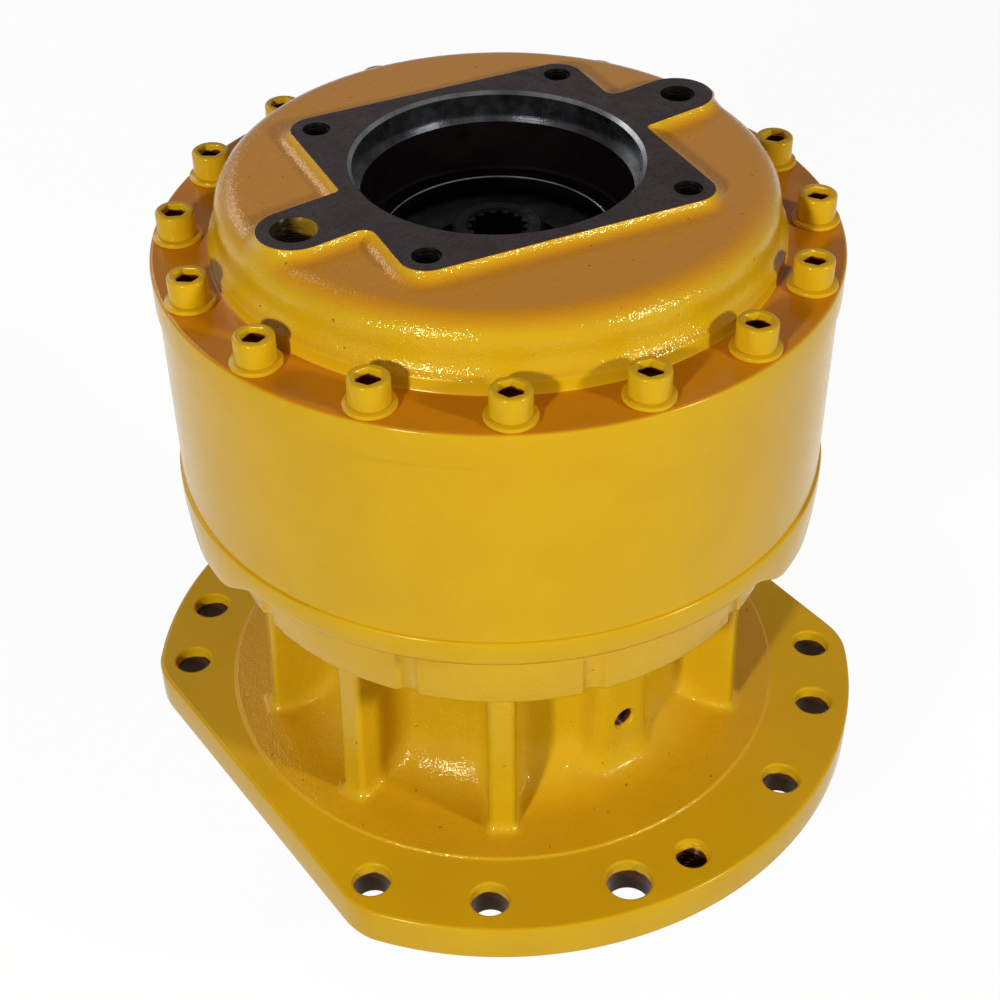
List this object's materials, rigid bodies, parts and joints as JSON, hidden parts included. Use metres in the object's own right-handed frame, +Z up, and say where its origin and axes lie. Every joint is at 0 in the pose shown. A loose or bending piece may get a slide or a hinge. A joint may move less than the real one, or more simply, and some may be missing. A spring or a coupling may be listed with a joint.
{
  "type": "swing gearbox",
  "caption": "Planetary swing gearbox with a ribbed cast housing on a flange with two flats, a cylindrical ring gear, a domed motor cover held by socket screws, and an output pinion below.",
  "frame": {"origin": "centre of the mounting face, where the spigot under the flange meets it", "axes": "+Z up along the shaft to the motor, +X to the flange flat under the small oil port, -Y to the drain hole"},
  "size_m": [0.43, 0.5078, 0.5712],
  "materials": {
    "yellow_paint": "glossy",
    "bearing_steel": "ground",
    "gear_steel": "ground",
    "cast_carrier": "as cast and machined",
    "black_steel": "blackened",
    "bronze": "machined",
    "seal_rubber": "matt"
  },
  "bodies": {
    "housing": {"lower_housing": "yellow_paint", "ring_gear": "yellow_paint", "motor_cover": "yellow_paint", "housing_screws": "yellow_paint", "screw_washers": "yellow_paint", "dowel_pins": "bearing_steel", "seal_plate": "gear_steel", "seal_plate_screws": "black_steel", "shaft_seal": "seal_rubber", "lower_bearing_cup": "bearing_steel", "upper_bearing_cup": "bearing_steel", "cover_thrust_ring": "bronze"},
    "output_shaft": {"pinion_shaft": "gear_steel", "seal_wear_sleeve": "bearing_steel", "lower_bearing_cone": "bearing_steel", "upper_bearing_cone": "bearing_steel", "bearing_lock_washer": "gear_steel", "bearing_lock_nut": "gear_steel", "stage2_carrier": "cast_carrier", "carrier_retaining_ring": "black_steel", "stage2_planet_pins": "bearing_steel", "stage2_pin_lock_pins": "bearing_steel", "stage2_thrust_washers": "bronze", "shaft_thrust_disc": "bronze"},
    "lower_roller_set": {"lower_rollers": "bearing_steel", "lower_roller_cage": "black_steel"},
    "upper_roller_set": {"upper_rollers": "bearing_steel", "upper_roller_cage": "black_steel"},
    "first_stage_carrier": {"stage1_carrier": "cast_carrier", "stage2_sun": "gear_steel", "sun_retaining_ring": "black_steel", "stage1_planet_pins": "bearing_steel", "stage1_thrust_washers": "bronze", "sun_thrust_disc": "bronze"},
    "input_sun": {"stage1_sun": "gear_steel"},
    "second_stage_planet_1": {"stage2_planet_1": "gear_steel", "stage2_needle_bearing_1": "bearing_steel"},
    "second_stage_planet_2": {"stage2_planet_2": "gear_steel", "stage2_needle_bearing_2": "bearing_steel"},
    "second_stage_planet_3": {"stage2_planet_3": "gear_steel", "stage2_needle_bearing_3": "bearing_steel"},
    "second_stage_planet_4": {"stage2_planet_4": "gear_steel", "stage2_needle_bearing_4": "bearing_steel"},
    "first_stage_planet_1": {"stage1_planet_1": "gear_steel", "stage1_needle_bearing_1": "bearing_steel"},
    "first_stage_planet_2": {"stage1_planet_2": "gear_steel", "stage1_needle_bearing_2": "bearing_steel"},
    "first_stage_planet_3": {"stage1_planet_3": "gear_steel", "stage1_needle_bearing_3": "bearing_steel"}
  },
  "joints": [
    {"name": "output_spin", "type": "hinge", "parent": "housing", "child": "output_shaft", "pos_m": [0, 0, 0], "axis": [0, 0, 1], "continuous": true},
    {"name": "lower_rollers_spin", "type": "hinge", "parent": "housing", "child": "lower_roller_set", "pos_m": [0, 0, 0.0355], "axis": [0, 0, 1], "continuous": true},
    {"name": "upper_rollers_spin", "type": "hinge", "parent": "housing", "child": "upper_roller_set", "pos_m": [0, 0, 0.1705], "axis": [0, 0, 1], "continuous": true},
    {"name": "stage2_planet_1_spin", "type": "hinge", "parent": "output_shaft", "child": "second_stage_planet_1", "pos_m": [0.108, 0, 0.273], "axis": [0, 0, 1], "continuous": true},
    {"name": "stage2_planet_2_spin", "type": "hinge", "parent": "output_shaft", "child": "second_stage_planet_2", "pos_m": [0, 0.108, 0.273], "axis": [0, 0, 1], "continuous": true},
    {"name": "stage2_planet_3_spin", "type": "hinge", "parent": "output_shaft", "child": "second_stage_planet_3", "pos_m": [-0.108, 0, 0.273], "axis": [0, 0, 1], "continuous": true},
    {"name": "stage2_planet_4_spin", "type": "hinge", "parent": "output_shaft", "child": "second_stage_planet_4", "pos_m": [0, -0.108, 0.273], "axis": [0, 0, 1], "continuous": true},
    {"name": "first_carrier_spin", "type": "hinge", "parent": "housing", "child": "first_stage_carrier", "pos_m": [0, 0, 0.3461], "axis": [0, 0, 1], "continuous": true},
    {"name": "stage1_planet_1_spin", "type": "hinge", "parent": "first_stage_carrier", "child": "first_stage_planet_1", "pos_m": [0.09883, 0.00576, 0.3461], "axis": [0, 0, 1], "continuous": true},
    {"name": "stage1_planet_2_spin", "type": "hinge", "parent": "first_stage_carrier", "child": "first_stage_planet_2", "pos_m": [-0.0544, 0.08271, 0.3461], "axis": [0, 0, 1], "continuous": true},
    {"name": "stage1_planet_3_spin", "type": "hinge", "parent": "first_stage_carrier", "child": "first_stage_planet_3", "pos_m": [-0.04443, -0.08847, 0.3461], "axis": [0, 0, 1], "continuous": true},
    {"name": "input_spin", "type": "hinge", "parent": "housing", "child": "input_sun", "pos_m": [0, 0, 0.391], "axis": [0, 0, 1], "continuous": true}
  ],
  "couplings": [
    {"joint": "lower_rollers_spin", "follows": "output_spin", "ratio": 0.43744},
    {"joint": "upper_rollers_spin", "follows": "output_spin", "ratio": 0.4374},
    {"joint": "stage2_planet_1_spin", "follows": "output_spin", "ratio": -3},
    {"joint": "stage2_planet_2_spin", "follows": "output_spin", "ratio": -3},
    {"joint": "stage2_planet_3_spin", "follows": "output_spin", "ratio": -3},
    {"joint": "stage2_planet_4_spin", "follows": "output_spin", "ratio": -3},
    {"joint": "first_carrier_spin", "follows": "output_spin", "ratio": 4},
    {"joint": "stage1_planet_1_spin", "follows": "output_spin", "ratio": -10.286},
    {"joint": "stage1_planet_2_spin", "follows": "output_spin", "ratio": -10.286},
    {"joint": "stage1_planet_3_spin", "follows": "output_spin", "ratio": -10.286},
    {"joint": "input_spin", "follows": "output_spin", "ratio": 22}
  ]
}
